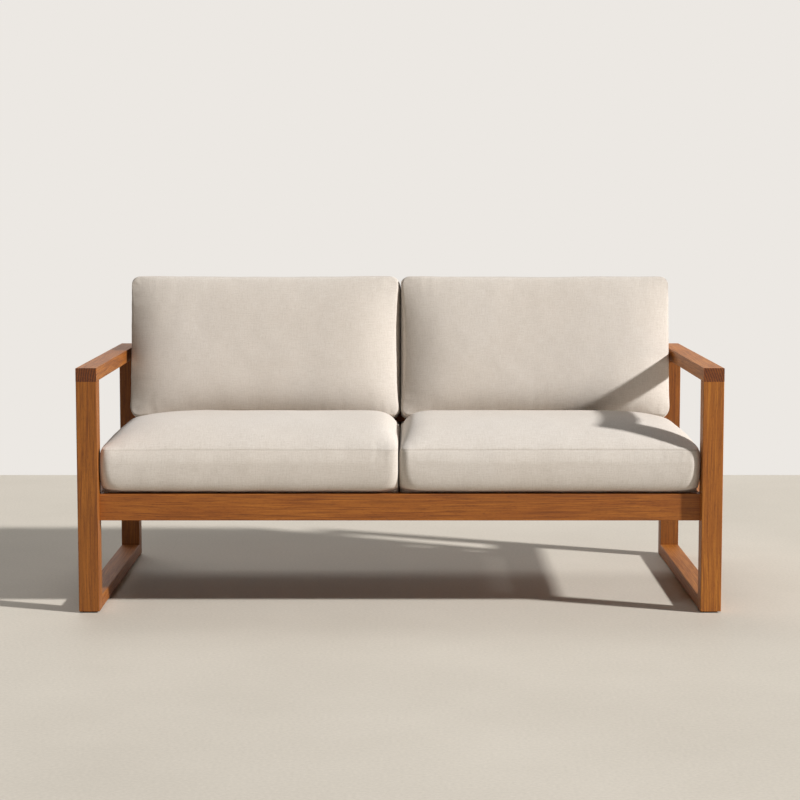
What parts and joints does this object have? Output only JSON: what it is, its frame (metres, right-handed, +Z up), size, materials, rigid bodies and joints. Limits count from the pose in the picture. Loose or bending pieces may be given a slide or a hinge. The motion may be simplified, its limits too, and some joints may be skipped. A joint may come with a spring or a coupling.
{
  "type": "patio loveseat",
  "caption": "Low hardwood patio loveseat with square hoop side frames, a slatted seat and leaning slatted back, and loose boxed cushions in pale woven fabric.",
  "frame": {"origin": "on the floor under the middle of the frame's box", "axes": "+X along the width, to the right of someone facing the seat; the seat faces -Y; +Z up"},
  "size_m": [1.5, 0.8, 0.7631],
  "materials": {
    "hardwood": "oiled reddish-brown hardwood, straight fine grain, satin",
    "dowel_beech": "plain beech, glued in",
    "glide_plastic": "black moulded nylon, matte",
    "steel": "stainless, fine turned",
    "outdoor_fabric": "warm off-white heathered plain weave",
    "foam": "open-cell cushion foam",
    "zip_nylon": "woven zip tape with moulded coil, colour of the cover",
    "zip_metal": "cast zip slider, satin nickel"
  },
  "bodies": {
    "frame": {"front_leg_left": "hardwood", "rear_leg_left": "hardwood", "armrest_left": "hardwood", "foot_rail_left": "hardwood", "side_rail_left": "hardwood", "back_stile_left": "hardwood", "front_leg_right": "hardwood", "rear_leg_right": "hardwood", "armrest_right": "hardwood", "foot_rail_right": "hardwood", "side_rail_right": "hardwood", "back_stile_right": "hardwood", "front_rail": "hardwood", "rear_rail": "hardwood", "centre_stretcher": "hardwood", "front_ledgers": "hardwood", "rear_ledgers": "hardwood", "back_batten": "hardwood", "seat_slat_1": "hardwood", "seat_slat_2": "hardwood", "seat_slat_3": "hardwood", "seat_slat_4": "hardwood", "seat_slat_5": "hardwood", "seat_slat_6": "hardwood", "seat_slat_7": "hardwood", "seat_slat_8": "hardwood", "seat_slat_9": "hardwood", "seat_slat_10": "hardwood", "seat_slat_11": "hardwood", "seat_slat_12": "hardwood", "back_slat_1": "hardwood", "back_slat_2": "hardwood", "back_slat_3": "hardwood", "back_slat_4": "hardwood", "back_slat_5": "hardwood", "dowels": "dowel_beech", "glide_front_left": "glide_plastic", "glide_front_right": "glide_plastic", "glide_rear_left": "glide_plastic", "glide_rear_right": "glide_plastic", "frame_bolts": "steel", "barrel_nuts": "steel", "wood_screws": "steel"},
    "seat_cushion_left": {"seat_cover_left": "outdoor_fabric", "seat_foam_left": "foam", "seat_zip_left": "zip_nylon"},
    "seat_zip_slider_left": {"seat_zip_slider_left": "zip_metal"},
    "back_cushion_left": {"back_cover_left": "outdoor_fabric", "back_foam_left": "foam", "back_zip_left": "zip_nylon"},
    "back_zip_slider_left": {"back_zip_slider_left": "zip_metal"},
    "seat_cushion_right": {"seat_cover_right": "outdoor_fabric", "seat_foam_right": "foam", "seat_zip_right": "zip_nylon"},
    "seat_zip_slider_right": {"seat_zip_slider_right": "zip_metal"},
    "back_cushion_right": {"back_cover_right": "outdoor_fabric", "back_foam_right": "foam", "back_zip_right": "zip_nylon"},
    "back_zip_slider_right": {"back_zip_slider_right": "zip_metal"}
  },
  "joints": [
    {"name": "seat_cushion_left_lift", "type": "slide", "parent": "frame", "child": "seat_cushion_left", "axis": [0, 0, 1], "range_m": [0, 0.4]},
    {"name": "seat_zip_left_open", "type": "slide", "parent": "seat_cushion_left", "child": "seat_zip_slider_left", "axis": [1, 0, 0], "range_m": [0, 0.46]},
    {"name": "back_cushion_left_lift", "type": "slide", "parent": "seat_cushion_left", "child": "back_cushion_left", "axis": [0, 0, 1], "range_m": [0, 0.4]},
    {"name": "back_zip_left_open", "type": "slide", "parent": "back_cushion_left", "child": "back_zip_slider_left", "axis": [1, 0, 0], "range_m": [0, 0.46]},
    {"name": "seat_cushion_right_lift", "type": "slide", "parent": "frame", "child": "seat_cushion_right", "axis": [0, 0, 1], "range_m": [0, 0.4]},
    {"name": "seat_zip_right_open", "type": "slide", "parent": "seat_cushion_right", "child": "seat_zip_slider_right", "axis": [1, 0, 0], "range_m": [0, 0.46]},
    {"name": "back_cushion_right_lift", "type": "slide", "parent": "seat_cushion_right", "child": "back_cushion_right", "axis": [0, 0, 1], "range_m": [0, 0.4]},
    {"name": "back_zip_right_open", "type": "slide", "parent": "back_cushion_right", "child": "back_zip_slider_right", "axis": [1, 0, 0], "range_m": [0, 0.46]}
  ]
}
